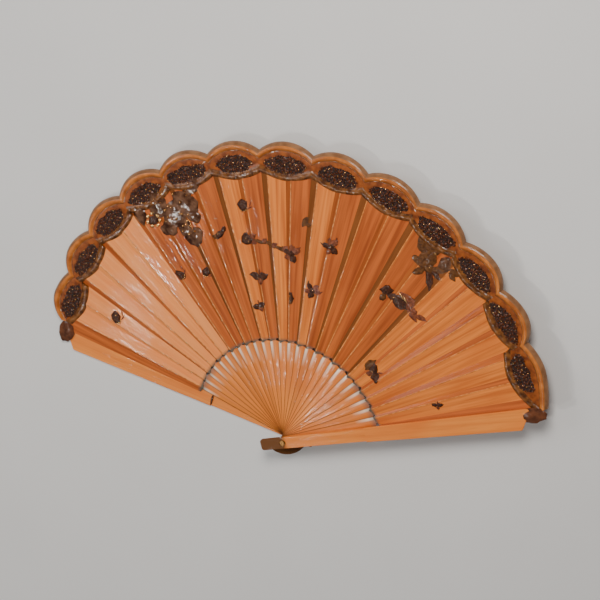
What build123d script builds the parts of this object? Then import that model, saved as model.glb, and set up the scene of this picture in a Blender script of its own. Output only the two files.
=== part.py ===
from build123d import *
from math import cos, radians, sin
import os

# A pleated folding fan, lying open and flat.  The rivet's axis is Z and z = 0 is the outer face of
# the back guard, on which the fan rests.  The middle of the spread points along +Y, and an angle is
# measured from +Y, positive towards -X, where the back guard lies.  Lengths are in millimetres.

# The spread
LOBES = 13
STICKS_PER_LOBE = 2
STICKS = LOBES * STICKS_PER_LOBE
LOBE_ANGLE = 10.9
STICK_ANGLE = LOBE_ANGLE / STICKS_PER_LOBE
LEAF_HALF_ANGLE = LOBES * LOBE_ANGLE / 2
GUARD_ANGLE = 75.0
STICK_OFFSET = 0.6           # the sticks stand a little off the middle of each half lobe

# The leaf, a thin veneer on a paper backing
LEAF_RADIUS = 255.0          # to the tip of the middle scallop
LEAF_END_DROP = 0.08         # the leaf gets this much shorter towards both guards
SCALLOP_DEPTH = 7.8
LEAF_INNER_RADIUS = 86.5
LEAF_THICKNESS = 0.2

# The sticks
STICK_LEVEL = 0.6            # from one stick's underside to the next one's
BLADE_WIDTH = 9.0
BLADE_THICKNESS = 0.45
BLADE_CROWN = 0.25           # how much lower the blade's edges are than its middle
SHOULDER_RADIUS = 86.0
SHOULDER_CORNER = 2.5
TAIL_LENGTH = 15.0           # from the rivet's axis to the round end
RIB_ROOT_WIDTH = 2.8
RIB_TIP_WIDTH = 1.8
RIB_THICKNESS = 0.25
RIB_END_MARGIN = 14.0        # from the rib's end to the scallop's tip

# The guards
GUARD_TAIL = 20.0
GUARD_TAIL_WIDTH = 9.4
GUARD_STEP_RADIUS = 75.0     # where the wide upper plate begins
GUARD_STEP_WIDTH = 10.8      # of the narrow part, at the step
GUARD_PLATE_WIDTH = 12.2     # of the upper plate, at the step
GUARD_TIP_WIDTH = 17.4
GUARD_LONG_EDGE = 219.0      # the tip is cut on a slant, longest beside the leaf
GUARD_SHORT_EDGE = 208.0
GUARD_CORNER = 2.0
GUARD_EDGE_BEVEL = 0.3

# The rivet and its washers
RIVET_RADIUS = 1.5
HOLE_RADIUS = 1.55
WASHER_RADIUS = 4.0
HEAD_RADIUS = 2.6
HEAD_HEIGHT = 0.8
HEAD_EDGE = 0.35
RUNNING_GAP = 0.1

# Heights, from the resting plane up
BACK_NARROW_TOP = 1.6
BACK_PLATE_TOP = 2.0
FIRST_STICK_Z = 2.8
STACK_TOP = FIRST_STICK_Z + (STICKS - 1) * STICK_LEVEL + BLADE_THICKNESS
FRONT_NARROW_BOTTOM = 19.4
FRONT_PLATE_BOTTOM = 20.1
FRONT_NARROW_TOP = 21.8
FRONT_PLATE_TOP = 22.1


def at(radius, angle):
    """The point at this distance from the rivet, at this angle from the fan's middle."""
    return (-radius * sin(radians(angle)), radius * cos(radians(angle)))


def tip_radius(angle):
    """Distance from the rivet to the line through the scallop tips, at this angle."""
    spread = abs(angle) / LEAF_HALF_ANGLE
    return LEAF_RADIUS * (1 - LEAF_END_DROP * spread ** 3)


def stick_angle(number):
    """The angle of a stick's middle line; stick 1 lies next to the back guard."""
    return ((STICKS + 1) / 2 - number) * STICK_ANGLE - STICK_OFFSET


def stick_z(number):
    return FIRST_STICK_Z + (number - 1) * STICK_LEVEL


def drilled(solid):
    """The same solid with the rivet's running hole through it."""
    return solid - Cylinder(HOLE_RADIUS, 100)


def turned(solid, angle):
    return Rot(0, 0, angle) * solid


def extrude_up(face, height):
    return extrude(face, height, dir=(0, 0, 1))


def stick(number):
    """One inner stick: a crowned blade in the gorge and a thin rib that carries the leaf."""
    z = stick_z(number)
    middle = (SHOULDER_RADIUS - TAIL_LENGTH) / 2
    outline = Pos(0, middle) * Rectangle(BLADE_WIDTH, SHOULDER_RADIUS + TAIL_LENGTH)
    tail_corners = outline.vertices().sort_by(Axis.Y)[:2]
    outline = fillet(tail_corners, BLADE_WIDTH / 2 - 0.05)
    shoulders = outline.vertices().sort_by(Axis.Y)[-2:]
    outline = fillet(shoulders, SHOULDER_CORNER)
    blade = extrude(outline, BLADE_THICKNESS)
    crown_radius = (BLADE_WIDTH / 2) ** 2 / (2 * BLADE_CROWN)
    crown = Rot(90, 0, 0) * Cylinder(crown_radius, 4 * SHOULDER_RADIUS)
    blade = blade & (Pos(0, 0, BLADE_THICKNESS - crown_radius) * crown)

    rib_end = tip_radius(stick_angle(number)) - RIB_END_MARGIN
    root = SHOULDER_RADIUS - SHOULDER_CORNER
    rib_outline = make_face(Polyline(
        (-RIB_ROOT_WIDTH / 2, root),
        (-RIB_TIP_WIDTH / 2, rib_end),
        (RIB_TIP_WIDTH / 2, rib_end),
        (RIB_ROOT_WIDTH / 2, root),
        close=True))
    rib = extrude(rib_outline, RIB_THICKNESS)
    return Pos(0, 0, z) * turned(drilled(blade + rib), stick_angle(number))


def leaf_half_lobe(number):
    """The leaf's half scallop that one stick carries, from its valley at the neck to the tip."""
    lobe = (number + 1) // STICKS_PER_LOBE
    centre = ((LOBES + 1) / 2 - lobe) * LOBE_ANGLE
    is_left = number % STICKS_PER_LOBE == 1
    neck = centre + STICK_ANGLE if is_left else centre - STICK_ANGLE
    tip = at(tip_radius(centre), centre)
    neck_point = at(tip_radius(neck) - SCALLOP_DEPTH, neck)
    towards_neck = at(1, centre + 90) if is_left else at(1, centre - 90)
    outline = make_face(Curve() + [
        Line(at(LEAF_INNER_RADIUS, centre), tip),
        TangentArc(tip, neck_point, tangent=towards_neck),
        Line(neck_point, at(LEAF_INNER_RADIUS, neck)),
        ThreePointArc(at(LEAF_INNER_RADIUS, neck),
                      at(LEAF_INNER_RADIUS, (neck + centre) / 2),
                      at(LEAF_INNER_RADIUS, centre))])
    return Pos(0, 0, stick_z(number) + RIB_THICKNESS) * extrude_up(outline, LEAF_THICKNESS)


def leaf_end(side, bottom):
    """The strip that joins the leaf to a guard, glued to the guard's inner face."""
    leaf_edge = side * LEAF_HALF_ANGLE
    guard_edge = side * GUARD_ANGLE
    outline = make_face(Polyline(
        at(LEAF_INNER_RADIUS, leaf_edge),
        at(tip_radius(leaf_edge) - SCALLOP_DEPTH, leaf_edge),
        at(GUARD_SHORT_EDGE, guard_edge),
        at(LEAF_INNER_RADIUS, guard_edge),
        close=True))
    return Pos(0, 0, bottom) * extrude_up(outline, LEAF_THICKNESS)


def guard_outline(start, end_inner, end_outer, start_width, end_width):
    """A tapering strip along +Y; its inner edge, on +X, may be longer than its outer one."""
    return make_face(Polyline(
        (-start_width / 2, start),
        (-end_width / 2, end_outer),
        (end_width / 2, end_inner),
        (start_width / 2, start),
        close=True))


def guard(narrow_bottom, narrow_top, plate_bottom, plate_top):
    """A guard, pointing along +Y: a narrow gorge part and the wide plate on its upper half."""
    overlap = 8.0
    narrow = guard_outline(-GUARD_TAIL, GUARD_STEP_RADIUS + overlap, GUARD_STEP_RADIUS + overlap,
                           GUARD_TAIL_WIDTH, GUARD_STEP_WIDTH)
    narrow = fillet(narrow.vertices().sort_by(Axis.Y)[:2], GUARD_CORNER)
    narrow_solid = Pos(0, 0, narrow_bottom) * extrude_up(narrow, narrow_top - narrow_bottom)
    plate = guard_outline(GUARD_STEP_RADIUS, GUARD_LONG_EDGE, GUARD_SHORT_EDGE,
                          GUARD_PLATE_WIDTH, GUARD_TIP_WIDTH)
    plate = fillet(plate.vertices().sort_by(Axis.Y)[-2:], GUARD_CORNER)
    plate_solid = Pos(0, 0, plate_bottom) * extrude_up(plate, plate_top - plate_bottom)
    plate_solid = bevelled(plate_solid)
    return narrow_solid + plate_solid


def bevelled(plate):
    """Breaks the long edges of a guard plate, above and below."""
    long_edges = plate.edges().filter_by(lambda edge: edge.length > GUARD_SHORT_EDGE / 2)
    return chamfer(long_edges, GUARD_EDGE_BEVEL)


def guard_back():
    """The back guard, under all the sticks; the rivet is driven into it."""
    body = guard(0, BACK_NARROW_TOP, 0, BACK_PLATE_TOP) - Cylinder(RIVET_RADIUS, 100)
    return turned(body, GUARD_ANGLE)


def guard_front():
    """The front guard, over all the sticks; it turns on the rivet."""
    body = guard(FRONT_NARROW_BOTTOM, FRONT_NARROW_TOP, FRONT_PLATE_BOTTOM, FRONT_PLATE_TOP)
    return turned(mirror(drilled(body), about=Plane.YZ), -GUARD_ANGLE)


def rivet():
    """A plain pin, flush with the back guard, with a low domed head over the front guard."""
    head_bottom = FRONT_NARROW_TOP + RUNNING_GAP / 2
    pin = Pos(0, 0, head_bottom / 2) * Cylinder(RIVET_RADIUS, head_bottom)
    head = Pos(0, 0, head_bottom + HEAD_HEIGHT / 2) * Cylinder(HEAD_RADIUS, HEAD_HEIGHT)
    head = fillet(head.edges().filter_by(GeomType.CIRCLE).sort_by(Axis.Z)[-1:], HEAD_EDGE)
    return pin + head


def washer(bottom, top):
    """A spacing washer, a tight fit on the rivet."""
    ring = Cylinder(WASHER_RADIUS, top - bottom) - Cylinder(RIVET_RADIUS, top - bottom)
    return Pos(0, 0, (bottom + top) / 2) * ring


def all_parts():
    """Every piece by name, in the order in which the fan is put on its rivet."""
    parts = {"guard_back": guard_back(), "rivet": rivet()}
    parts["leaf_end_back"] = leaf_end(1, BACK_PLATE_TOP)
    parts["washer_back"] = washer(BACK_NARROW_TOP, FIRST_STICK_Z - RUNNING_GAP)
    for number in range(1, STICKS + 1):
        parts[f"stick_{number:02d}"] = stick(number)
        parts[f"leaf_{number:02d}"] = leaf_half_lobe(number)
    parts["washer_front"] = washer(STACK_TOP + RUNNING_GAP, FRONT_NARROW_BOTTOM - RUNNING_GAP)
    parts["guard_front"] = guard_front()
    parts["leaf_end_front"] = leaf_end(-1, FRONT_PLATE_BOTTOM - LEAF_THICKNESS)
    return parts


os.makedirs("parts", exist_ok=True)
for name, solid in all_parts().items():
    export_step(solid, f"parts/{name}.step")
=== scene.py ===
import bmesh
import bpy
from math import atan2, cos, floor, hypot, pi, radians, sin, sqrt
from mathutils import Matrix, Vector, noise
from random import Random


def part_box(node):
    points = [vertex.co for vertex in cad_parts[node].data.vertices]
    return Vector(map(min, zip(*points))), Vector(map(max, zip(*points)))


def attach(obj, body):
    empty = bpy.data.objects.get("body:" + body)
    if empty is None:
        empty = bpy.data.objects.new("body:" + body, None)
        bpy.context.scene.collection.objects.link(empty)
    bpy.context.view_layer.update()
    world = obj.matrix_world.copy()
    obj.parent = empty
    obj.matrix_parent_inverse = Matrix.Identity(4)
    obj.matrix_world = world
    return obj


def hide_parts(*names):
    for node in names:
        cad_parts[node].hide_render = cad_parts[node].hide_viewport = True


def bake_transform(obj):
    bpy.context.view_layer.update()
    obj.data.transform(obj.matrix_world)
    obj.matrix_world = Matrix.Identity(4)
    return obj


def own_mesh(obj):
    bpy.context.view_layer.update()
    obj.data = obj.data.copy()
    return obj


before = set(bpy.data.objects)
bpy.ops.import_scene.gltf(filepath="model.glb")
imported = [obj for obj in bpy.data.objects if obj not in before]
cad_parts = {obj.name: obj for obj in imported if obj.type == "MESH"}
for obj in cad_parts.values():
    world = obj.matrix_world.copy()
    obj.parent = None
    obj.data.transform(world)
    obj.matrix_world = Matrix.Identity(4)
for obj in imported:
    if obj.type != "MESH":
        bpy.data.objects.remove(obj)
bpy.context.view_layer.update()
MM = 0.001


# ---- The table, the light and the camera -----------------
# The open fan lies on a plain pale table, on its back guard.  Two broad soft panels light it in a
# dim room, and two small ones put glints on it.  The camera looks down from the front guard's side.

def fresh_material(name):
    """A new material with its nodes and its shader."""
    material = bpy.data.materials.new(name)
    material.use_nodes = True
    nodes = material.node_tree.nodes
    return material, nodes, nodes["Principled BSDF"]


def join(source, output, target, socket):
    """Links one node's output to another node's socket, by their names."""
    source.id_data.links.new(source.outputs[output], target.inputs[socket])


def table_finish():
    """Matt, very slightly mottled off-white laminate."""
    material, nodes, shader = fresh_material("table_laminate")
    shader.inputs["Roughness"].default_value = 0.7
    place = nodes.new("ShaderNodeTexCoord")
    mottle = nodes.new("ShaderNodeTexNoise")
    mottle.inputs["Scale"].default_value = 9.0
    tint = nodes.new("ShaderNodeMix")
    tint.data_type = "RGBA"
    tint.inputs["A"].default_value = (0.72, 0.71, 0.69, 1)
    tint.inputs["B"].default_value = (0.78, 0.77, 0.75, 1)
    join(place, "Object", mottle, "Vector")
    join(mottle, "Fac", tint, "Factor")
    join(tint, "Result", shader, "Base Color")
    return material


def soft_panel(name, place, aim, size, power, colour):
    """A square studio softbox at a place, turned towards the point that it lights, in metres."""
    light = bpy.data.lights.new(name, "AREA")
    light.energy = power
    light.size = size
    light.color = colour
    panel = bpy.data.objects.new(name, light)
    panel.location = place
    panel.rotation_euler = (Vector(aim) - Vector(place)).to_track_quat("-Z", "Y").to_euler()
    bpy.context.collection.objects.link(panel)


bpy.ops.mesh.primitive_plane_add(size=6)
table = bpy.context.object
table.name = "table"
table.data.materials.append(table_finish())

fan_middle = (0, 0.13, 0)
leaf_left, shoulders = (-0.06, 0.12, 0), (0, 0.07, 0)
soft_panel("key_panel", (0.30, 0.95, 1.0), fan_middle,
           size=0.45, power=14.5, colour=(1.0, 0.95, 0.9))
soft_panel("glint_panel", (-0.55, -0.22, 0.95), leaf_left,
           size=0.06, power=1.9, colour=(1.0, 0.96, 0.9))
soft_panel("shoulder_panel", (-0.36, -0.36, 0.95), shoulders,
           size=0.045, power=1.0, colour=(1.0, 0.97, 0.93))
soft_panel("fill_panel", (-0.9, 0.6, 0.9), fan_middle,
           size=0.6, power=3.5, colour=(0.97, 0.98, 1.0))

room = bpy.data.worlds.new("room")
room.use_nodes = True
room.node_tree.nodes["Background"].inputs["Color"].default_value = (0.93, 0.95, 1.0, 1)
room.node_tree.nodes["Background"].inputs["Strength"].default_value = 0.17
bpy.context.scene.world = room

lens = bpy.data.cameras.new("camera")
lens.lens = 116.6
camera = bpy.data.objects.new("camera", lens)
camera.location = (0.5614, 0.6792, 1.3684)
camera.rotation_euler = (radians(-20.84), radians(21.96), radians(-0.23))
bpy.context.collection.objects.link(camera)
bpy.context.scene.camera = camera


# ---- The guards ------------------------------------------
# Two outer sticks of solid sandalwood, planed, waxed and polished.  The back guard lies under
# the pack and holds the rivet; the front guard lies over it, a mirror image of the first.

LOBES = 13
LOBE_ANGLE = 10.9
LEAF_HALF_ANGLE = LOBES * LOBE_ANGLE / 2
GUARD_ANGLE = 75.0


def wood(name, grain, light, dark, roughness, coat, streaks, uv=False, stains_and_painted_light=(), crown=0.0):
    """Polished, straight-grained sandalwood; its grain runs along Y once turned back by grain degrees.

    A stain is a colour and the ranges in mm over which it grows, each (axis of the grain, start,
    full); some stains are real colour, some painted highlight or painted shade.  A crown makes the
    polished skin look swollen along the middle.
    """
    material, nodes, shader = fresh_material(name)
    links = material.node_tree.links
    shader.inputs["Coat Weight"].default_value = coat
    shader.inputs["Coat Roughness"].default_value = 0.07
    shader.inputs["Specular IOR Level"].default_value = 0.12
    place = nodes.new("ShaderNodeTexCoord")
    turn = nodes.new("ShaderNodeMapping")
    turn.inputs["Rotation"].default_value = (0, 0, radians(-grain))
    join(place, "UV" if uv else "Object", turn, "Vector")

    def stretched(across, along, detail, distortion):
        scale = nodes.new("ShaderNodeMapping")
        scale.inputs["Scale"].default_value = (across, along, across)
        join(turn, "Vector", scale, "Vector")
        texture = nodes.new("ShaderNodeTexNoise")
        texture.inputs["Scale"].default_value = 1.0
        texture.inputs["Detail"].default_value = detail
        texture.inputs["Distortion"].default_value = distortion
        join(scale, "Vector", texture, "Vector")
        return texture.outputs["Fac"]

    growth = stretched(across=260, along=9, detail=3, distortion=0.6)
    pores = stretched(across=1500, along=45, detail=2, distortion=0.0)
    clouds = stretched(across=45, along=14, detail=2, distortion=0.3)
    waves = stretched(across=330, along=55, detail=2, distortion=0.4)

    def between(value, low, high, first, last):
        spread = nodes.new("ShaderNodeMapRange")
        for socket, number in (("From Min", low), ("From Max", high),
                               ("To Min", first), ("To Max", last)):
            spread.inputs[socket].default_value = number
        links.new(value, spread.inputs["Value"])
        return spread.outputs["Result"]

    def product(first, second):
        times = nodes.new("ShaderNodeMath")
        times.operation = "MULTIPLY"
        links.new(first, times.inputs[0])
        links.new(second, times.inputs[1])
        return times.outputs["Value"]

    def mixed(first, second, factor):
        mix = nodes.new("ShaderNodeMix")
        mix.data_type = "RGBA"
        for socket, colour in (("A", first), ("B", second)):
            if isinstance(colour, tuple):
                mix.inputs[socket].default_value = (*colour, 1)
            else:
                links.new(colour, mix.inputs[socket])
        links.new(factor, mix.inputs["Factor"])
        return mix.outputs["Result"]

    body = mixed(light, dark, between(growth, 0.35, 0.68, 0, streaks))
    redder = tuple(channel * tint for channel, tint in zip(dark, (1.05, 0.82, 0.7)))
    body = mixed(body, redder, between(clouds, 0.45, 0.75, 0, 0.45))
    body = mixed(body, tuple(channel * 0.45 for channel in dark), between(pores, 0.6, 0.78, 0, 0.4))
    axes = nodes.new("ShaderNodeSeparateXYZ")
    join(turn, "Vector", axes, "Vector")
    for colour, *ranges in stains_and_painted_light:
        strength = None
        for axis, start, full in ranges:
            grown = between(axes.outputs[axis], start * MM, full * MM, 0, 1)
            strength = product(strength, grown) if strength else grown
        body = mixed(body, colour, strength)
    links.new(body, shader.inputs["Base Color"])
    links.new(between(growth, 0.3, 0.7, roughness, roughness + 0.12), shader.inputs["Roughness"])
    relief = nodes.new("ShaderNodeBump")
    relief.inputs["Strength"].default_value = 0.25
    relief.inputs["Distance"].default_value = 0.00012
    links.new(pores, relief.inputs["Height"])
    ripple = nodes.new("ShaderNodeBump")
    ripple.inputs["Strength"].default_value = 0.5
    ripple.inputs["Distance"].default_value = 0.0006
    links.new(waves, ripple.inputs["Height"])
    if crown:
        swell = nodes.new("ShaderNodeBump")
        swell.invert = True
        swell.inputs["Distance"].default_value = crown
        links.new(product(axes.outputs["X"], axes.outputs["X"]), swell.inputs["Height"])
        join(swell, "Normal", relief, "Normal")
        join(swell, "Normal", ripple, "Normal")
    join(relief, "Normal", shader, "Normal")
    join(ripple, "Normal", shader, "Coat Normal")
    return material


def refinish(node, material):
    """Gives a carried-over CAD node its real finish."""
    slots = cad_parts[node].data.materials
    slots.clear()
    slots.append(material)


GUARD_LIGHT, GUARD_DARK = (0.92, 0.29, 0.05), (0.70, 0.18, 0.027)
TAIL_BROWN = (0.15, 0.055, 0.014)
for side, slant, start, full in (("back", GUARD_ANGLE, 2, -6), ("front", -GUARD_ANGLE, 4, 0)):
    finish = wood(f"guard_wood_{side}", slant, GUARD_LIGHT, GUARD_DARK, roughness=0.35, coat=0.08,
                  streaks=0.7, stains_and_painted_light=((TAIL_BROWN, ("Y", start, full)),))
    refinish(f"guard_{side}", finish)


# ---- The rivet and its washers ---------------------------
# A brass pin with a low domed head, and two brass washers that space the pack from the guards.
# Handling has dulled the brass to brown, and rubbed it bright on the high spots.

def aged_brass():
    material, nodes, shader = fresh_material("aged_brass")
    shader.inputs["Metallic"].default_value = 1.0
    place = nodes.new("ShaderNodeTexCoord")
    darkening = nodes.new("ShaderNodeTexNoise")
    darkening.inputs["Scale"].default_value = 900
    darkening.inputs["Detail"].default_value = 4
    join(place, "Object", darkening, "Vector")
    tint = nodes.new("ShaderNodeValToRGB")
    tint.color_ramp.elements[0].position = 0.35
    tint.color_ramp.elements[0].color = (0.06, 0.025, 0.008, 1)
    tint.color_ramp.elements[1].position = 0.72
    tint.color_ramp.elements[1].color = (0.34, 0.18, 0.06, 1)
    join(darkening, "Fac", tint, "Fac")
    join(tint, "Color", shader, "Base Color")
    worn = nodes.new("ShaderNodeMapRange")
    worn.inputs["To Min"].default_value = 0.45
    worn.inputs["To Max"].default_value = 0.22
    join(darkening, "Fac", worn, "Value")
    join(worn, "Result", shader, "Roughness")
    return material


brass = aged_brass()
for node in ("rivet", "washer_back", "washer_front"):
    refinish(node, brass)


# ---- The sticks ------------------------------------------
# Twenty-six thin blades of the same wood, each crowned and lacquered in the gorge, with a rib
# that runs up behind the leaf.  Each is cut with its grain along its length.

STICKS_PER_LOBE = 2
STICKS = LOBES * STICKS_PER_LOBE
STICK_ANGLE = LOBE_ANGLE / STICKS_PER_LOBE
STICK_OFFSET = 0.6           # degrees, of each stick from the middle of its half scallop
STICK_LIGHT, STICK_DARK = (0.92, 0.28, 0.05), (0.64, 0.16, 0.025)
STICK_TONES = Random(3)      # each stick is a little lighter or darker than the next
# Stains and painted light: a painted highlight on the shoulders, painted shade in the groove beside
# a stick, the brown tail below the rivet, and a grey band that ends under the leaf's inner edge.
SHOULDER_PAINTED_HIGHLIGHT = ((1.0, 0.76, 0.56), ("Y", 68, 84), ("X", -1.2, -2.5))
GROOVE_PAINTED_SHADE = ((0.16, 0.05, 0.012), ("X", -3.7, -4.5))
TAIL = (TAIL_BROWN, ("Y", 2, -8))
# A grey band darkens each stick towards the leaf's inner edge, from lower down on the corner sticks.
EDGE_BAND_GREY, EDGE_BAND_START, CORNER_EDGE_BAND_START, EDGE_BAND_FULL = (0.13, 0.12, 0.11), 85, 80, 88
CORNER_STICKS = (1, 2, 3, 22, 23, 24, 25, 26)      # the last few beside each guard


def stick_name(number):
    return f"stick_{number:02d}"


def stick_angle(number):
    return ((STICKS + 1) / 2 - number) * STICK_ANGLE - STICK_OFFSET


for number in range(1, STICKS + 1):
    tone = STICK_TONES.uniform(0.85, 1.1)
    light = tuple(channel * tone for channel in STICK_LIGHT)
    dark = tuple(channel * tone for channel in STICK_DARK)
    start = CORNER_EDGE_BAND_START if number in CORNER_STICKS else EDGE_BAND_START
    darkening = (EDGE_BAND_GREY, ("Y", start, EDGE_BAND_FULL))
    finish = wood(f"stick_wood_{number:02d}", stick_angle(number), light, dark, roughness=0.3,
                  coat=0.12, streaks=0.8, stains_and_painted_light=(TAIL, SHOULDER_PAINTED_HIGHLIGHT, darkening, GROOVE_PAINTED_SHADE), crown=18.0)
    refinish(stick_name(number), finish)


# ---- The pleated leaf ------------------------------------
# A paper-thin lacquered veneer, folded into broad faces that are glued to the sticks and narrow
# risers that turn over between two sticks.  Pooled lacquer stands as a bead along each crest, and
# the leaf's two ends are glued to the guards.

LEAF_RADIUS = 255.0
LEAF_END_DROP = 0.08
SCALLOP_DEPTH = 7.8
LAST_FALL = 11.0             # how fast the last scallop falls past its tip, on to the front guard
LAST_FALL_POWER = 1.4
LEAF_INNER_RADIUS = 86.5
LEAF_UNDER_RIM = 2.5         # how far the leaf runs in under its border
VENEER = 0.2
LIFT = 0.6                   # of the leaf's mid height over a stick's underside
RISER_TOP, CREASE, CREST = 0.14, 0.50, 0.61     # the folds' places across a scallop
TOP_RISE, CREASE_RISE, CREST_RISE, NECK_RISE = 1.0, -0.5, 0.6, -0.85    # and their heights
RIM_HEIGHT = 32.0            # from a scallop's tip down to the lower edge of its border
RIM_NECK_RISE = 6.0
LEVEL = (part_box(stick_name(STICKS))[0].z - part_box(stick_name(1))[0].z) / MM / (STICKS - 1)
FIRST_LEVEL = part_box(stick_name(1))[0].z / MM
FIRST_PLACE = (LEAF_HALF_ANGLE - stick_angle(1)) / LOBE_ANGLE


def at(radius, place, height):
    """The point at a radius and height in mm; place counts scallops from the back guard's side."""
    angle = radians(LEAF_HALF_ANGLE - place * LOBE_ANGLE)
    return Vector((-radius * sin(angle), radius * cos(angle), height)) * MM


def base_height(place):
    """The leaf climbs like a spiral stair, by one stick's level for each stick."""
    return FIRST_LEVEL + LIFT + (place - FIRST_PLACE) * STICKS_PER_LOBE * LEVEL


def tip_radius(place):
    spread = abs(LEAF_HALF_ANGLE - place * LOBE_ANGLE) / LEAF_HALF_ANGLE
    return LEAF_RADIUS * (1 - LEAF_END_DROP * spread ** 3)


def scallop(place):
    """The scalloped edge's radius: arcs level at the tip that run down to the necks; the last runs on."""
    lobe = min(max(floor(place), 0), LOBES - 1)
    offset = place - lobe - 0.5
    tip = tip_radius(lobe + 0.5)
    if place > LOBES - 0.5:
        return tip - LAST_FALL * offset ** LAST_FALL_POWER
    neck = tip_radius(lobe + (1 if offset > 0 else 0)) - SCALLOP_DEPTH
    half = radians(LOBE_ANGLE / 2)
    across, drop = neck * sin(half), tip - neck * cos(half)
    arc = (across ** 2 + drop ** 2) / (2 * drop)
    centre = tip - arc
    turn = abs(offset) * radians(LOBE_ANGLE)
    return centre * cos(turn) + sqrt(arc ** 2 - (centre * sin(turn)) ** 2)


def rim_lower(place):
    """The radius of the border's lower edge, which bows towards the rivet under each scallop."""
    lobe = min(max(floor(place), 0), LOBES - 1)
    across = 2 * (place - lobe) - 1
    return tip_radius(lobe + 0.5) - RIM_HEIGHT + RIM_NECK_RISE * across ** 2


def closed_sheet(name, rows, thickness, material, uv):
    """A thin closed sheet from rows of top points; its underside lies straight below them."""
    height, width = len(rows), len(rows[0])
    top = [point for row in rows for point in row]
    under = [point - Vector((0, 0, thickness * MM)) for point in top]
    count = len(top)
    faces = []
    for i in range(height - 1):
        for j in range(width - 1):
            a, b = i * width + j, i * width + j + 1
            c, d = b + width, a + width
            faces += [(a, b, c, d), (a + count, d + count, c + count, b + count)]
    for i in range(height - 1):
        a, d = i * width, (i + 1) * width
        faces.append((a, d, d + count, a + count))
        b, c = a + width - 1, d + width - 1
        faces.append((b, b + count, c + count, c))
    for j in range(width - 1):
        faces.append((j, j + count, j + 1 + count, j + 1))
        a = (height - 1) * width + j
        faces.append((a, a + 1, a + 1 + count, a + count))
    return piece(name, top + under, faces, [material], uv=uv + uv)


def piece(name, points, faces, materials, uv=None, slots=None, smooth=35):
    """A mesh object from points and faces, smooth except over edges sharper than an angle."""
    mesh = bpy.data.meshes.new(name)
    mesh.from_pydata(points, [], faces)
    for material in materials:
        mesh.materials.append(material)
    if uv:
        layer = mesh.uv_layers.new(name="UVMap")
        for loop in mesh.loops:
            layer.data[loop.index].uv = uv[loop.vertex_index]
    if slots:
        mesh.polygons.foreach_set("material_index", slots)
    soften(mesh, smooth)
    thing = bpy.data.objects.new(name, mesh)
    bpy.context.collection.objects.link(thing)
    return thing


def soften(mesh, limit):
    work = bmesh.new()
    work.from_mesh(mesh)
    for face in work.faces:
        face.smooth = True
    for edge in work.edges:
        edge.smooth = len(edge.link_faces) == 2 and edge.calc_face_angle(0) < radians(limit)
    work.to_mesh(mesh)
    work.free()


LEAF_ROWS, LEAF_COLUMNS = 36, 9
INNER_TOOTH = 2.0            # the inner edge's toothed step for each mm that a fold rises


def fold(place, rise):
    """A fold line: its place, its height, and the radius where the leaf's inner edge meets it."""
    return (place, base_height(place) + rise, LEAF_INNER_RADIUS - INNER_TOOTH * rise)


def leaf_strip(name, left, right, seed, waviness, material):
    """One flat face or riser between two folds, each a (place, height, inner radius)."""
    middle = (left[0] + right[0]) / 2
    rows, uv = [], []
    shift = Vector((seed * 3.7, seed * 1.3, seed * 0.61))       # to a place in the noise of its own
    for i in range(LEAF_ROWS + 1):
        along = i / LEAF_ROWS
        row = []
        for j in range(LEAF_COLUMNS + 1):
            across = j / LEAF_COLUMNS
            place = left[0] + (right[0] - left[0]) * across
            inner = left[2] + (right[2] - left[2]) * across
            radius = inner + (rim_lower(place) + LEAF_UNDER_RIM - inner) * along
            height = left[1] + (right[1] - left[1]) * across
            buckle = noise.noise(Vector((radius * 0.028, across * 1.4, 0)) + shift)
            buckle += 0.5 * noise.noise(Vector((radius * 0.07, across * 2.6, 5)) + shift)
            height += waviness * buckle * 4 * across * (1 - across)
            row.append(at(radius, place, height))
            turn = radians((place - middle) * LOBE_ANGLE)
            uv.append((0.31 * seed + radius * sin(turn) * MM, radius * cos(turn) * MM))
        rows.append(row)
    return closed_sheet(name, rows, VENEER, material, uv)


INNER_EDGE_GREY = (((0.13, 0.10, 0.07), ("Y", 89.5, 86.5)),)       # grey, along the inner edge


def veneer(name, light, dark, coat):
    """Lacquered veneer, for the leaf's broad faces."""
    return wood(name, 0, light, dark, roughness=0.36, coat=coat, streaks=0.9, uv=True,
                stains_and_painted_light=INNER_EDGE_GREY)


def matt_veneer(name, light, dark):
    """Bare veneer, for the risers, which the lacquer brush missed."""
    return wood(name, 0, light, dark, roughness=0.55, coat=0.0, streaks=0.9, uv=True,
                stains_and_painted_light=INNER_EDGE_GREY)


def lacquer(name, light, dark, roughness, coat, scale, bump=0.3):
    """Thick mottled lacquer, with a slightly uneven, very glossy skin."""
    material, nodes, shader = fresh_material(name)
    shader.inputs["Roughness"].default_value = roughness
    shader.inputs["Coat Weight"].default_value = coat
    shader.inputs["Coat Roughness"].default_value = 0.05
    shader.inputs["Specular IOR Level"].default_value = 0.15
    place = nodes.new("ShaderNodeTexCoord")
    mottle = nodes.new("ShaderNodeTexNoise")
    mottle.inputs["Scale"].default_value = scale
    mottle.inputs["Detail"].default_value = 3
    join(place, "Object", mottle, "Vector")
    tint = nodes.new("ShaderNodeMix")
    tint.data_type = "RGBA"
    tint.inputs["A"].default_value = (*dark, 1)
    tint.inputs["B"].default_value = (*light, 1)
    spread = nodes.new("ShaderNodeMapRange")
    spread.inputs["From Min"].default_value = 0.35
    spread.inputs["From Max"].default_value = 0.65
    join(mottle, "Fac", spread, "Value")
    join(spread, "Result", tint, "Factor")
    join(tint, "Result", shader, "Base Color")
    skin = nodes.new("ShaderNodeBump")
    skin.inputs["Strength"].default_value = bump
    skin.inputs["Distance"].default_value = 0.0008
    join(mottle, "Fac", skin, "Height")
    join(skin, "Normal", shader, "Normal")
    join(skin, "Normal", shader, "Coat Normal")
    return material


# Painted light and shade: the leaf's veneers are lit and shaded copies of one veneer, the pale ones for
# faces most in the light, the darker ones for faces half in shade and for risers turned away from it.
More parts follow.
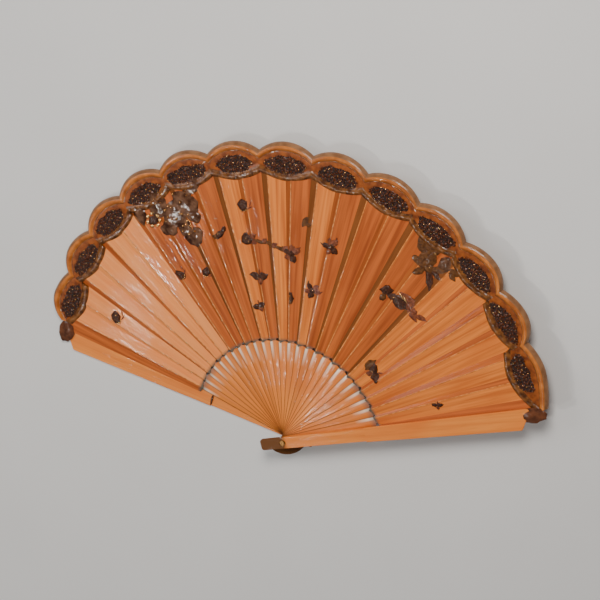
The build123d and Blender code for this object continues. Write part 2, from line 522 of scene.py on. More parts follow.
PAINTED_LIT_PALE, PAINTED_LIT_PALE_DARK = (0.97, 0.35, 0.095), (0.84, 0.24, 0.055)
leaf_painted_lit_pale = veneer("leaf_veneer_painted_lit_pale", PAINTED_LIT_PALE, PAINTED_LIT_PALE_DARK, 0.1)
leaf_painted_lit_glossy = veneer("leaf_veneer_painted_lit_glossy", PAINTED_LIT_PALE, PAINTED_LIT_PALE_DARK, 0.5)
leaf_painted_lit = veneer("leaf_veneer_painted_lit", (0.93, 0.27, 0.045), (0.54, 0.12, 0.018), 0.35)
leaf_painted_half_shade = veneer("leaf_veneer_painted_half_shade", (0.64, 0.15, 0.027), (0.29, 0.058, 0.011), 0.35)
leaf_painted_shade = matt_veneer("leaf_riser_painted_shade", (0.46, 0.115, 0.02), (0.25, 0.055, 0.011))
leaf_painted_deep_shade = matt_veneer("leaf_riser_painted_deep_shade", (0.26, 0.082, 0.018), (0.14, 0.042, 0.010))
FOLD_LIGHT, FOLD_DARK = (0.80, 0.30, 0.075), (0.45, 0.13, 0.025)
fold_lacquer = lacquer("fold_lacquer", FOLD_LIGHT, FOLD_DARK, 0.25, 1.0, 300, 0.35)
fold_lacquer.node_tree.nodes["Principled BSDF"].inputs["Coat IOR"].default_value = 1.9
FOLD_DULL_LIGHT, FOLD_DULL_DARK = (0.80, 0.27, 0.06), (0.50, 0.14, 0.025)
fold_dull = lacquer("fold_lacquer_dull", FOLD_DULL_LIGHT, FOLD_DULL_DARK, 0.4, 0.25, 300, 0.35)
# Scallops count from the back guard.  The folds of the first few are glossy, and of the rest dull.
# The painted-lit scallops take the pale veneer, and the painted-shade scallops the darker ones.
PAINTED_LIT_LOBES, PAINTED_SHADE_LOBES, GLOSSY_LOBES = (0, 1, 2), (3, 4, 8, 9), 8
FACE_WAVINESS = 0.1          # mm, of the slight buckles in a face
RISER_SEED = 40


def face_finishes(lobe):
    """The painted lit and shaded veneers of a scallop's left face, middle riser, right face and the riser
    beyond it.
    """
    if lobe in PAINTED_LIT_LOBES:
        return leaf_painted_lit_pale, leaf_painted_lit_pale, leaf_painted_lit_glossy if lobe == PAINTED_LIT_LOBES[-1] else leaf_painted_lit_pale, leaf_painted_half_shade
    if lobe in PAINTED_SHADE_LOBES:
        return leaf_painted_half_shade, leaf_painted_shade, leaf_painted_half_shade, leaf_painted_deep_shade
    if lobe < GLOSSY_LOBES:
        return leaf_painted_lit, leaf_painted_shade, leaf_painted_half_shade, leaf_painted_deep_shade
    return leaf_painted_lit, leaf_painted_half_shade, leaf_painted_lit, leaf_painted_half_shade


def blend_up(strip, first, last, low, high):
    """Bakes a strip's placement into its mesh; first, last, low and high are not used."""
    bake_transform(strip)


for number in range(1, STICKS + 1):
    lobe = (number - 1) // STICKS_PER_LOBE
    left_finish, middle_finish, right_finish, neck_finish = face_finishes(lobe)
    if number % STICKS_PER_LOBE == 1:
        left, right = fold(lobe + RISER_TOP, TOP_RISE), fold(lobe + CREASE, CREASE_RISE)
        following = fold(lobe + CREST, CREST_RISE)
        face_finish, riser_finish = left_finish, middle_finish
    else:
        left, right = fold(lobe + CREST, CREST_RISE), fold(lobe + 1, NECK_RISE)
        following = fold(lobe + 1 + RISER_TOP, TOP_RISE)
        face_finish, riser_finish = right_finish, neck_finish
    face = leaf_strip(f"leaf_face_{number:02d}", left, right, number, FACE_WAVINESS, face_finish)
    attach(face, stick_name(number))
    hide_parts(f"leaf_{number:02d}")
    if number < STICKS:
        riser = leaf_strip(f"leaf_riser_{number:02d}", right, following, RISER_SEED + number, 0.0,
                           riser_finish)
        blend_up(riser, stick_name(number), stick_name(number + 1), right[1], following[1])

BEAD_START, BEAD_SEAT = 1, 0.02          # from the leaf's inner edge, and above its crest
BEAD_HALF_WIDTH, BEAD_THICKNESS = 0.65, 0.1
BEAD_SWELL, BEAD_UNEVENNESS = 0.75, 0.35
BEAD_ARCH = ((-1, -0.12), (-0.5, 0.04), (0, 0.09), (0.5, 0.04), (1, -0.12))    # across, rise


def fold_bead(name, place, height, number, finish):
    """Lacquer pooled along a crest: a thin arched bead from the leaf's inner edge to its border."""
    rows = []
    for i in range(LEAF_ROWS + 1):
        along = (rim_lower(place) - LEAF_INNER_RADIUS) * i / LEAF_ROWS
        radius = LEAF_INNER_RADIUS + BEAD_START + along
        swell = BEAD_SWELL + BEAD_UNEVENNESS * noise.noise(Vector((radius * 0.09, number * 2.3, 0)))
        row = []
        for across, rise in BEAD_ARCH:
            turn = BEAD_HALF_WIDTH * swell * across / radius / radians(LOBE_ANGLE)
            row.append(at(radius, place + turn, height + BEAD_SEAT + rise * swell))
        rows.append(row)
    plain_uv = [(0, 0)] * (len(BEAD_ARCH) * len(rows))
    bead = closed_sheet(name, rows, BEAD_THICKNESS, finish, plain_uv)
    for polygon in bead.data.polygons:
        polygon.use_smooth = True
    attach(bead, stick_name(number))


for number in range(1, STICKS + 1):
    lobe = (number - 1) // STICKS_PER_LOBE
    part, rise = (RISER_TOP, TOP_RISE) if number % STICKS_PER_LOBE == 1 else (CREST, CREST_RISE)
    finish = fold_lacquer if lobe < GLOSSY_LOBES else fold_dull
    crest = base_height(lobe + part) + rise
    fold_bead(f"leaf_fold_bead_{number:02d}", lobe + part, crest, number, finish)

BACK_GLUE_PLACE, FRONT_GLUE_PLACE, GLUE_GAP = -0.2, LOBES + 0.3, 0.02
back_top, front_end_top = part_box("guard_back")[1].z / MM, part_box("leaf_end_front")[1].z / MM
back_glue = (BACK_GLUE_PLACE, back_top + VENEER, LEAF_INNER_RADIUS)
front_glue = (FRONT_GLUE_PLACE, front_end_top - GLUE_GAP, LEAF_INNER_RADIUS)
for side, left, right, seed, first, last in (
        ("back", back_glue, fold(RISER_TOP, TOP_RISE), 70, "guard_back", stick_name(1)),
        ("front", fold(LOBES, NECK_RISE), front_glue, 71, stick_name(STICKS), "guard_front")):
    end_face = leaf_strip(f"leaf_end_face_{side}", left, right, seed, 0.0, leaf_painted_half_shade)
    blend_up(end_face, first, last, left[1], right[1])
    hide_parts(f"leaf_end_{side}")


# ---- The scalloped border --------------------------------
# Each scallop is moulded in lacquer: a raised lip, a sunk red-brown field and a thick glassy amber
# bead along its lower edge.  Its two halves sit on two sticks, and the last scallop runs on in a
# piece glued to the front guard.

edge_lacquer = lacquer("edge_lacquer", (0.30, 0.14, 0.06), (0.20, 0.085, 0.033), 0.4, 0.35, 180)
lip_lacquer = lacquer("lip_lacquer", (0.62, 0.19, 0.033), (0.36, 0.095, 0.015), 0.34, 0.45, 120)
field_lacquer = lacquer("field_lacquer", (0.34, 0.085, 0.013), (0.15, 0.035, 0.008), 0.4, 0.35, 200)
amber = lacquer("amber_bead", (0.24, 0.085, 0.018), (0.07, 0.022, 0.006), 0.2, 0.6, 260, 0.9)

# The section, in mm: (depth under the scalloped edge, rise), then (height over the lower edge, rise).
LIP = ((0.0, -1.5), (0.5, 0.3), (1.6, 1.6), (2.7, 2.3), (3.6, 2.6), (4.8, 2.4), (6.1, 1.6),
       (7.0, 0.6))
FIELD = ((7.6, 0.55), (9.4, 0.65))
AMBER_BEAD = ((6.8, 0.7), (6.0, 1.1), (4.6, 1.6), (2.8, 1.6), (1.1, 1.1), (0.0, -0.2))
RIM_BACK = 1.6               # of the border's flat back below the leaf's mid height
FRONT_RUN_ON = 0.24          # of the last scallop on to the front guard, in scallops
NUDGE = 1e-6                 # keeps a half's edges on its own scallop
RIM_COLUMNS = 14
EDGE_SKIN, LIP_SKIN, FIELD_SKIN, AMBER_SKIN = range(4)
# The skin of each band of the section, from the outer edge in; a dark amber band between lip and field is
# painted shade in the crease.
RIM_SKINS = (EDGE_SKIN,) * 3 + (LIP_SKIN,) * 4 + (AMBER_SKIN,) + (FIELD_SKIN,) * 2 + (AMBER_SKIN,) * 5


def flatten_closed(thing, number):
    """Rides on a stick, with a mesh of its own."""
    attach(thing, stick_name(number))
    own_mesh(thing)


def rim_half(name, first, last):
    """The border between two places; its section is set out from its two edges."""
    profile = [(depth, None, rise) for depth, rise in LIP + FIELD]
    profile += [(None, above, rise) for above, rise in AMBER_BEAD]
    points, under = [], []
    for depth, above, rise in profile:
        for j in range(RIM_COLUMNS + 1):
            place = first + (last - first) * j / RIM_COLUMNS
            inside = min(max(place, first + NUDGE), last - NUDGE)
            radius = scallop(inside) - depth if above is None else rim_lower(inside) + above
            points.append(at(radius, place, base_height(place) + rise))
            under.append(at(radius, place, base_height(place) - RIM_BACK))
    width, height = RIM_COLUMNS + 1, len(profile)
    count = len(points)
    faces, slots = [], []
    for i, skin in enumerate(RIM_SKINS):
        for j in range(RIM_COLUMNS):
            a, b = i * width + j, i * width + j + 1
            c, d = b + width, a + width
            faces += [(a, d, c, b), (a + count, b + count, c + count, d + count)]
            slots += [skin, EDGE_SKIN]
        a, d = i * width, (i + 1) * width
        faces.append((a, a + count, d + count, d))
        b, c = a + RIM_COLUMNS, d + RIM_COLUMNS
        faces.append((b, c, c + count, b + count))
        slots += [skin, skin]
    for j in range(RIM_COLUMNS):
        faces.append((j, j + 1, j + 1 + count, j + count))
        a = (height - 1) * width + j
        faces.append((a, a + count, a + 1 + count, a + 1))
        slots += [EDGE_SKIN, AMBER_SKIN]
    skins = [edge_lacquer, lip_lacquer, field_lacquer, amber]
    return piece(name, points + under, faces, skins, slots=slots)


for number in range(1, STICKS + 1):
    first = (number - 1) / STICKS_PER_LOBE
    half = rim_half(f"scallop_border_{number:02d}", first, first + 1 / STICKS_PER_LOBE)
    flatten_closed(half, number)
run_on = rim_half("scallop_border_run_on", LOBES, LOBES + FRONT_RUN_ON)
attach(run_on, "guard_front")


# ---- The beaded ovals ------------------------------------
# An oval of dark velvet is set in each scallop's field and sown thickly with dark glass beads,
# flat spangles and a few gilt ones.  Like the border, it is in two halves.

def flat_finish(name, colour, roughness, metallic=0.0, sheen=0.0):
    """A finish of one colour, for things too small to show a texture."""
    material, nodes, shader = fresh_material(name)
    shader.inputs["Base Color"].default_value = (*colour, 1)
    shader.inputs["Roughness"].default_value = roughness
    shader.inputs["Metallic"].default_value = metallic
    shader.inputs["Sheen Weight"].default_value = sheen
    shader.inputs["Specular IOR Level"].default_value = 0.3
    return material


velvet = flat_finish("dark_velvet", (0.028, 0.010, 0.006), 0.8, sheen=0.3)
dark_glass = flat_finish("dark_glass_bead", (0.022, 0.008, 0.004), 0.2)
red_glass = flat_finish("red_brown_spangle", (0.09, 0.022, 0.006), 0.25)
gilt = flat_finish("gilt_bead", (0.95, 0.55, 0.20), 0.25, metallic=1.0)


def sowing_tree():
    """Sows beads on a surface: its inputs are the seed, spacing, size, flatness and finish."""
    tree = bpy.data.node_groups.new("sow_beads", "GeometryNodeTree")
    face = tree.interface
    face.new_socket("Surface", in_out="INPUT", socket_type="NodeSocketGeometry")
    for label, kind in (("Seed", "Int"), ("Spacing", "Float"), ("Size", "Float"),
                        ("Flatness", "Float"), ("Finish", "Material")):
        face.new_socket(label, in_out="INPUT", socket_type=f"NodeSocket{kind}")
    face.new_socket("Beads", in_out="OUTPUT", socket_type="NodeSocketGeometry")
    nodes = tree.nodes
    given = nodes.new("NodeGroupInput")
    result = nodes.new("NodeGroupOutput")
    sow = nodes.new("GeometryNodeDistributePointsOnFaces")
    sow.distribute_method = "POISSON"
    sow.inputs["Density Max"].default_value = 4e6
    join(given, "Surface", sow, "Mesh")
    join(given, "Spacing", sow, "Distance Min")
    join(given, "Seed", sow, "Seed")
    bead = nodes.new("GeometryNodeMeshIcoSphere")
    bead.inputs["Subdivisions"].default_value = 2
    join(given, "Size", bead, "Radius")
    press = nodes.new("GeometryNodeTransform")
    shape = nodes.new("ShaderNodeCombineXYZ")
    shape.inputs["X"].default_value = 1
    shape.inputs["Y"].default_value = 1
    join(given, "Flatness", shape, "Z")
    join(shape, "Vector", press, "Scale")
    join(bead, "Mesh", press, "Geometry")
    lean = nodes.new("FunctionNodeRandomValue")
    lean.data_type = "FLOAT_VECTOR"
    lean.inputs["Min"].default_value = (-0.6, -0.6, 0)
    lean.inputs["Max"].default_value = (0.6, 0.6, 6.28)
    join(given, "Seed", lean, "Seed")
    grow = nodes.new("FunctionNodeRandomValue")
    grow.inputs["Min"].default_value = 0.65
    grow.inputs["Max"].default_value = 1.25
    join(given, "Seed", grow, "Seed")
    put = nodes.new("GeometryNodeInstanceOnPoints")
    join(sow, "Points", put, "Points")
    join(press, "Geometry", put, "Instance")
    join(lean, "Value", put, "Rotation")
    growth = [output for output in grow.outputs if output.type == "VALUE"][0]
    tree.links.new(growth, put.inputs["Scale"])
    real = nodes.new("GeometryNodeRealizeInstances")
    join(put, "Instances", real, "Geometry")
    rounded = nodes.new("GeometryNodeSetShadeSmooth")
    join(real, "Geometry", rounded, "Geometry")
    finish = nodes.new("GeometryNodeSetMaterial")
    join(rounded, "Geometry", finish, "Geometry")
    join(given, "Finish", finish, "Material")
    join(finish, "Geometry", result, "Beads")
    return tree


SOWING = sowing_tree()


def sown(surface, **settings):
    """The mesh of the beads that a sowing puts on a surface."""
    growth = surface.modifiers.new("sow", "NODES")
    growth.node_group = SOWING
    for item in SOWING.interface.items_tree:
        if item.in_out == "INPUT" and item.name in settings:
            growth[item.identifier] = settings[item.name]
    bpy.context.view_layer.update()
    grown = surface.evaluated_get(bpy.context.evaluated_depsgraph_get())
    beads = bpy.data.meshes.new_from_object(grown)
    surface.modifiers.remove(growth)
    return beads


def merged(name, meshes):
    """One object from several meshes, each with one material."""
    work = bmesh.new()
    materials = []
    for mesh in meshes:
        first = len(work.faces)
        work.from_mesh(mesh)
        work.faces.ensure_lookup_table()
        for face in work.faces[first:]:
            face.material_index = len(materials)
        materials.append(mesh.materials[-1])
    result = bpy.data.meshes.new(name)
    work.to_mesh(result)
    work.free()
    for material in materials:
        result.materials.append(material)
    thing = bpy.data.objects.new(name, result)
    bpy.context.collection.objects.link(thing)
    return thing


OVAL_ACROSS, OVAL_ALONG = 17.0, 7.2      # half the length and height of an oval
OVAL_DEPTH = 19.0                        # of its centre below the scallop's tip
OVAL_SEAT = 0.75                         # of the cushion's rim above the leaf's mid height
OVAL_SWELL, OVAL_SINK = 0.35, 0.25       # of its middle above the rim, and of its underside below
OVAL_RINGS, OVAL_SPOKES = 5, 14
# Each sowing: added to the oval's seed, then spacing, size, flatness and finish.
SOWINGS = ((0, 0.0013, 0.00060, 0.9, dark_glass), (50, 0.0021, 0.0013, 0.2, red_glass),
           (90, 0.0036, 0.00050, 0.9, gilt))
OVAL_RAGGEDNESS = 0.25                   # how far its rim strays, of its half size
SAME_POINT = 1e-7                        # metres, between points that are really one


def oval_half(name, number):
    """A low ragged-edged cushion, half an ellipse and thin at its rim, and its sown beads."""
    lobe = (number - 1) // STICKS_PER_LOBE
    side = -1 if number % STICKS_PER_LOBE == 1 else 1
    centre = tip_radius(lobe + 0.5) - OVAL_DEPTH
    points, faces = [], []

    def spot(ring, spoke):
        turn = pi * spoke / OVAL_SPOKES
        ragged = 1 + OVAL_RAGGEDNESS * noise.noise(
            Vector((cos(turn) * 2.2, sin(turn) * 2.2, lobe + 0.5)))
        share = ring / OVAL_RINGS * (ragged if 0 < spoke < OVAL_SPOKES else 1)
        across = side * OVAL_ACROSS * share * sin(turn)
        along = OVAL_ALONG * share * cos(turn)
        radius = hypot(centre + along, across)
        place = lobe + 0.5 + atan2(across, centre + along) / radians(LOBE_ANGLE)
        return radius, place

    for seat in (1, 0):
        for ring in range(OVAL_RINGS + 1):
            for spoke in range(OVAL_SPOKES + 1):
                radius, place = spot(ring, spoke)
                swell = OVAL_SWELL * (1 - (ring / OVAL_RINGS) ** 2) if seat else -OVAL_SINK
                points.append(at(radius, place, base_height(place) + OVAL_SEAT + swell))
    width = OVAL_SPOKES + 1
    count = (OVAL_RINGS + 1) * width
    for ring in range(OVAL_RINGS):
        for spoke in range(OVAL_SPOKES):
            a, b = ring * width + spoke, ring * width + spoke + 1
            faces += [(a, b, b + width, a + width),
                      (a + count, a + width + count, b + width + count, b + count)]
    for spoke in range(OVAL_SPOKES):
        a = OVAL_RINGS * width + spoke
        faces.append((a, a + 1, a + 1 + count, a + count))
    for ring in range(OVAL_RINGS):
        for edge, turned in ((0, False), (OVAL_SPOKES, True)):
            a = ring * width + edge
            side_face = (a, a + width, a + width + count, a + count)
            faces.append(side_face[::-1] if turned else side_face)
    cushion = piece(name, points, faces, [velvet], smooth=60)
    work = bmesh.new()
    work.from_mesh(cushion.data)
    bmesh.ops.remove_doubles(work, verts=work.verts, dist=SAME_POINT)
    bmesh.ops.dissolve_degenerate(work, edges=work.edges, dist=SAME_POINT)
    bmesh.ops.recalc_face_normals(work, faces=work.faces)
    work.to_mesh(cushion.data)
    top = cushion.data.copy()
    hidden = [face for face in work.faces if face.normal.z < 0.5]
    bmesh.ops.delete(work, geom=hidden, context="FACES")
    work.to_mesh(top)
    work.free()
    surface = bpy.data.objects.new(name + "_surface", top)
    bpy.context.collection.objects.link(surface)
    sowings = [sown(surface, Seed=number + added, Spacing=spacing, Size=size, Flatness=flatness,
                    Finish=finish) for added, spacing, size, flatness, finish in SOWINGS]
    bpy.data.objects.remove(surface)
    return cushion, sowings


for number in range(1, STICKS + 1):
    cushion, sowings = oval_half(f"oval_cushion_{number:02d}", number)
    flatten_closed(cushion, number)
    beads = merged(f"oval_beads_{number:02d}", sowings)
    flatten_closed(beads, number)


# ---- The border's ends -----------------------------------
# Two tabs of thick glossy brown lacquer, moulded over the guards' tips, close off the border.  A
# thin dark lump of the same lacquer lies across the back guard, over the step where it widens; its
# dark colour is painted shade for the step, its gloss real.

tab_lacquer = lacquer("tab_lacquer", (0.17, 0.055, 0.022), (0.07, 0.022, 0.009), 0.25, 0.6, 190, 0.8)


def pebble(size, turn, wobble, seed, grain=2, pointed=0.0):
    """Points and faces of a rounded lump: half sizes in mm, turned about the upright, ends drawn in."""
    work = bmesh.new()
    bmesh.ops.create_icosphere(work, subdivisions=grain, radius=1)
    points = []
    for vertex in work.verts:
        out = vertex.co * (1 + wobble * noise.noise(vertex.co * 1.9 + Vector((seed * 1.7, 0, 0))))
        narrow = 1 - pointed * vertex.co.x ** 2
        x, y, z = out.x * size[0], out.y * size[1] * narrow, out.z * size[2] * narrow
        angle = radians(turn)
        points.append(Vector((x * cos(angle) - y * sin(angle), x * sin(angle) + y * cos(angle), z)))
    faces = [tuple(vertex.index for vertex in face.verts) for face in work.faces]
    work.free()
    return points, faces


def border_end(name, body, place, radius, height, size):
    """A lump laid over the guard's tip; its half sizes are across it, along it and upright."""
    points, faces = pebble(size, turn=0, wobble=0.22, seed=place, grain=3)
    laid = []
    for point in points:
        reach = radius + point.y
        turn = atan2(point.x, reach) / radians(LOBE_ANGLE)
        laid.append(at(hypot(reach, point.x), place + turn, height + point.z))
    tab = piece(name, laid, faces, [tab_lacquer])
    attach(tab, body)


border_end("border_end_back", "guard_back", place=-0.22, radius=217.5, height=2.5,
           size=(10.5, 7.2, 2.0))
border_end("border_end_front", "guard_front", place=LOBES + 0.31, radius=219.5, height=21.1,
           size=(6.5, 10.5, 1.5))

# Painted shade: the dark lump across the back guard's step stands for the step's shade.
STEP_RADIUS = 75
STEP_SHADE_HALF_SIZES = (5.3, 1.1, 0.8)
guard_place = (LEAF_HALF_ANGLE - GUARD_ANGLE) / LOBE_ANGLE
over = Vector((cos(radians(GUARD_ANGLE)), sin(radians(GUARD_ANGLE)), 0)) * MM
points, faces = pebble(STEP_SHADE_HALF_SIZES, turn=0, wobble=0.2, seed=4)
laid = [at(STEP_RADIUS + point.y, guard_place, back_top + point.z) + over * point.x
        for point in points]
step_shade_lump = piece("guard_step_shade_lump", laid, faces, [tab_lacquer])
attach(step_shade_lump, "guard_back")


# ---- The applied flowers ---------------------------------
# Small buds, flowers, a star and a bird, cut from dark and mauve-brown lacquered shell with gilt
# seeds, are glued to the leaf.  A large smoky glass spray hangs from the border near the back guard.

petal_dark = lacquer("petal_dark", (0.085, 0.026, 0.010), (0.028, 0.010, 0.006), 0.35, 0.25, 600, 0.5)
petal_mauve = lacquer("petal_mauve", (0.26, 0.075, 0.032), (0.11, 0.03, 0.014), 0.35, 0.25, 500, 0.5)
petal_olive = lacquer("petal_olive", (0.15, 0.056, 0.015), (0.07, 0.025, 0.008), 0.4, 0.2, 400, 0.4)
smoky_glass = lacquer("smoky_glass", (0.18, 0.085, 0.045), (0.04, 0.012, 0.004), 0.13, 0.6, 170, 0.9)
SHADES = (petal_dark, petal_mauve, petal_olive, gilt, smoky_glass)
DARK, MAUVE, OLIVE, GILT, GLASS = range(5)
SEEDS_RAISED, PETALS_RAISED = 1.1, 0.1       # mm above the leaf's face
LONG_PETAL = 1.5                             # times its width; its ends are drawn in to points
POINTED_ENDS, ROUND_ENDS = 0.55, 0.1
PETAL_WOBBLE = 0.45
KINDS = {
    # each petal: across, out, half length, half width, half height, turn, shade
    "bud": (
        (0, 0, 5.6, 4.6, 0.9, 80, DARK), (-1.8, -4.6, 0.9, 0.8, 0.7, 0, GILT),
        (0.4, -5.0, 0.9, 0.8, 0.7, 0, GILT), (2.3, -4.4, 0.8, 0.7, 0.7, 0, GILT),
        (5.6, -2.8, 3.0, 0.7, 0.3, 20, MAUVE), (7.2, 0.8, 3.0, 0.6, 0.3, 70, MAUVE),
        (1.4, 2.2, 0.5, 0.5, 0.9, 0, GILT)),
    "bar": (
        (0, 0, 6.8, 2.9, 0.7, 12, DARK), (4.6, 1.8, 3.4, 2.2, 0.6, 40, DARK),
        (-5.0, -0.4, 3.4, 2.2, 0.5, -30, OLIVE), (-1.6, 0.6, 0.6, 0.6, 0.8, 0, GILT),
        (1.8, 1.4, 0.5, 0.5, 0.8, 0, GILT)),
    "round": (
        (-0.5, 0, 5.2, 4.8, 0.9, 0, DARK), (4.6, 2.0, 4.4, 2.8, 0.6, 35, MAUVE),
        (4.6, -2.0, 4.0, 2.4, 0.5, -25, MAUVE), (-1.2, 3.6, 3.0, 2.2, 0.6, 100, DARK),
        (-1.2, 1.0, 0.6, 0.6, 1.0, 0, GILT), (0.6, -2.0, 0.6, 0.6, 1.0, 0, GILT)),
    "flower": (
        (0, 0, 3.4, 3.0, 0.9, 0, DARK), (4.0, 1.8, 4.4, 3.0, 0.6, 25, MAUVE),
        (1.0, 4.0, 3.8, 2.6, 0.6, 72, MAUVE), (-3.6, 2.0, 4.4, 2.6, 0.6, 142, DARK),
        (-3.4, -2.4, 4.0, 2.6, 0.6, 205, MAUVE), (0.8, -3.8, 4.0, 2.8, 0.7, 280, DARK),
        (7.6, 4.2, 1.8, 0.7, 0.3, 50, MAUVE), (-6.8, 4.8, 2.2, 0.8, 0.3, 110, OLIVE),
        (0.2, 0.6, 0.6, 0.6, 1.1, 0, GILT), (2.4, -1.6, 0.5, 0.5, 0.8, 0, GILT)),
    "wing": (
        (-3.4, 0.8, 5.2, 3.2, 0.7, 160, DARK), (2.8, 0.4, 5.2, 3.4, 0.7, 10, DARK),
        (0, -3.0, 3.6, 2.4, 0.6, 90, MAUVE), (0.6, 4.4, 2.6, 0.8, 0.4, 80, MAUVE),
        (-1.2, -0.8, 0.6, 0.6, 0.9, 0, GILT), (1.6, -2.4, 0.6, 0.6, 0.9, 0, GILT)),
    "star": (
        (0, 0, 3.4, 3.0, 0.6, 0, OLIVE), (-1.0, 6.0, 6.2, 3.4, 0.6, 95, OLIVE),
        (6.0, 3.0, 6.0, 2.6, 0.5, 30, OLIVE), (-6.4, 1.0, 6.0, 2.8, 0.5, 170, OLIVE),
        (3.6, -5.8, 6.6, 2.6, 0.6, 300, DARK), (-4.4, -4.6, 4.6, 2.4, 0.5, 230, OLIVE),
        (5.8, -1.0, 4.4, 1.8, 0.5, -14, DARK), (0.4, 1.0, 0.7, 0.6, 0.8, 0, GILT),
        (-0.4, 10.8, 0.7, 0.6, 0.8, 0, GILT)),
    "bird": (
        (0, 0, 7.8, 4.0, 0.8, -22, DARK), (-8.0, 4.6, 3.4, 2.6, 0.8, 20, DARK),
        (-9.6, 0.4, 2.8, 1.8, 0.5, 60, OLIVE), (4.4, 1.0, 6.4, 3.6, 0.7, -48, MAUVE),
        (7.6, -4.4, 5.2, 2.6, 0.6, -62, MAUVE), (12.0, -6.2, 4.0, 1.6, 0.4, -10, MAUVE),
        (1.0, 2.6, 3.6, 0.5, 0.9, -50, GILT), (3.0, 1.4, 3.6, 0.5, 0.9, -55, GILT),
        (-3.6, 1.6, 0.7, 0.6, 0.9, 0, GILT)),
    "leaf": (
        (0, 0, 5.4, 2.8, 0.3, 60, OLIVE), (2.6, -2.2, 3.4, 1.8, 0.3, 20, OLIVE)),
    "vine": (
        (0, 0, 4.6, 1.4, 0.35, -18, OLIVE), (3.2, 0.6, 2.6, 1.7, 0.4, 40, MAUVE)),
    "glass petal": ((0, 0, 12.5, 9.0, 1.3, 20, GLASS),),
    "glass drop": ((0, 0, 7.0, 5.6, 1.4, 60, GLASS),),
    "gilt ring": tuple((4.0 * cos(turn), 4.0 * sin(turn), 1.5, 1.1, 1.1, 57 * turn + 90, GILT)
                       for turn in (0.3, 1.2, 2.1, 3.0, 3.9, 4.8, 5.7))
                 + ((0, 0, 3.6, 3.2, 0.9, 0, DARK),),
    "gilt seeds": tuple((3.0 * step * cos(2.4 * step), 3.0 * step * sin(2.4 * step),
                         0.7, 0.5, 1.5, 40 * step, GILT)
                        for step in (0.4, 0.8, 1.2, 1.6, 2.0, 2.3, 2.7, 3.0, 3.3)),
}
MOTIFS = (
    # kind, place, radius, turn, scale
    ("bud", 5.50, 202, 0, 1.0), ("bar", 4.76, 181, 12, 1.0), ("round", 5.46, 173, 0, 1.0),
    ("vine", 5.78, 171, -4, 1.2), ("vine", 6.05, 169, -14, 1.3), ("vine", 6.33, 166, -8, 1.3),
    ("flower", 6.65, 163, 10, 1.0), ("flower", 7.67, 178, 40, 0.95), ("bud", 3.15, 162, 30, 0.9),
    ("bud", 3.92, 154, -40, 0.75), ("wing", 5.61, 141, 0, 1.05), ("wing", 5.40, 116, 15, 0.8),
    ("bar", 6.69, 125, 80, 0.7), ("flower", 7.39, 136, -20, 0.9), ("bud", 0.75, 179, -30, 1.0),
    ("leaf", 6.96, 192, 0, 1.0), ("leaf", 9.62, 221, 40, 1.3), ("glass drop", 9.98, 219, 20, 0.9),
    ("leaf", 9.42, 219, 60, 1.5), ("leaf", 9.60, 212, 20, 1.5), ("leaf", 10.22, 219, -30, 1.2),
    ("star", 9.80, 206, 10, 1.3), ("bird", 9.78, 168, 30, 1.5), ("wing", 10.80, 106, -30, 1.1),
    ("leaf", 10.45, 108, 30, 1.2), ("wing", 12.72, 143, 80, 0.6), ("glass petal", 3.90, 209, 10, 1.15),
    ("glass petal", 3.62, 222, 70, 0.95), ("glass petal", 4.22, 214, 100, 1.1),
    ("glass petal", 4.50, 226, 10, 0.8), ("glass petal", 3.16, 220, 40, 0.7),
    ("glass drop", 3.96, 194, 20, 1.1), ("glass drop", 4.10, 184, -30, 1.3),
    ("glass drop", 3.60, 199, 80, 1.1), ("glass drop", 4.30, 200, 70, 0.9),
    ("gilt ring", 3.36, 212, 0, 1.4), ("gilt seeds", 3.86, 213, 0, 1.5),
    ("gilt seeds", 4.02, 195, 40, 1.4), ("gilt seeds", 3.66, 226, 80, 1.0),
    ("gilt seeds", 4.40, 222, 10, 0.8), ("gilt ring", 4.10, 197, 0, 0.6),
)


def leaf_height(place):
    """The height of the leaf's top face."""
    lobe = floor(place)
    part = place - lobe
    folds = ((0, NECK_RISE), (RISER_TOP, TOP_RISE), (CREASE, CREASE_RISE), (CREST, CREST_RISE),
             (1, NECK_RISE))
    for (start, low), (end, high) in zip(folds, folds[1:]):
        if part <= end:
            return base_height(place) + low + (high - low) * (part - start) / (end - start)


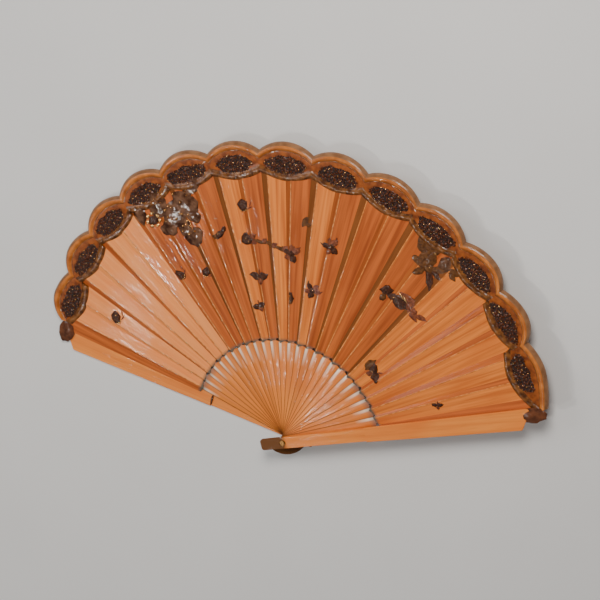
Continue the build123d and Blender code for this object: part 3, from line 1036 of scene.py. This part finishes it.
def strip_under(place):
    """The stick before a place, and whether the place is on the riser that follows its face."""
    lobe = floor(place)
    part = place - lobe
    number = STICKS_PER_LOBE * lobe + (0 if part < RISER_TOP else 1 if part < CREST else 2)
    return number, part < RISER_TOP or CREASE < part < CREST


def petals():
    """Every petal's number, shade, faces and corners, each corner with its place on the leaf."""
    for index, (kind, place, radius, turn, scale) in enumerate(MOTIFS):
        raised = SEEDS_RAISED if kind == "gilt seeds" else PETALS_RAISED
        slant = radians(turn)
        for petal, (x, y, length, width, height, lean, shade) in enumerate(KINDS[kind]):
            across = scale * (x * cos(slant) - y * sin(slant))
            out = scale * (x * sin(slant) + y * cos(slant))
            pointed = POINTED_ENDS if length > LONG_PETAL * width else ROUND_ENDS
            points, faces = pebble((scale * length, scale * width, height), turn + lean,
                                   PETAL_WOBBLE, seed=index * 7 + petal, pointed=pointed)
            corners = []
            for point in points:
                reach, aside = radius + out + point.y, across + point.x
                spot = place + atan2(aside, reach) / radians(LOBE_ANGLE)
                top = leaf_height(spot) + raised + point.z
                corners.append((spot, at(hypot(reach, aside), spot, top)))
            yield (index, petal), shade, faces, corners


# The petals' faces are heaped by the strip of leaf that they are glued to.
heaps = {}
for petal, shade, faces, corners in petals():
    for face in faces:
        middle = sum(corners[corner][0] for corner in face) / len(face)
        points, laid, shades, known = heaps.setdefault(strip_under(middle), ([], [], [], {}))
        for corner in face:
            if (petal, corner) not in known:
                known[petal, corner] = len(points)
                points.append(corners[corner][1])
        laid.append(tuple(known[petal, corner] for corner in face))
        shades.append(shade)
for (number, folding), (points, faces, shades, known) in sorted(heaps.items()):
    label = f"applied_flowers_{'riser' if folding else 'face'}_{number:02d}"
    flowers = piece(label, points, faces, SHADES, slots=shades, smooth=80)
    if not folding:
        flatten_closed(flowers, number)
        continue
    lobe, odd = divmod(number, STICKS_PER_LOBE)
    start, end = (lobe + CREASE, lobe + CREST) if odd else (lobe, lobe + RISER_TOP)
    reach = sum(point.xy.length for point in points) / len(points) / MM
    stick_name(number)
    at(reach, start, 0)
    at(reach, end, 0)
    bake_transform(flowers)
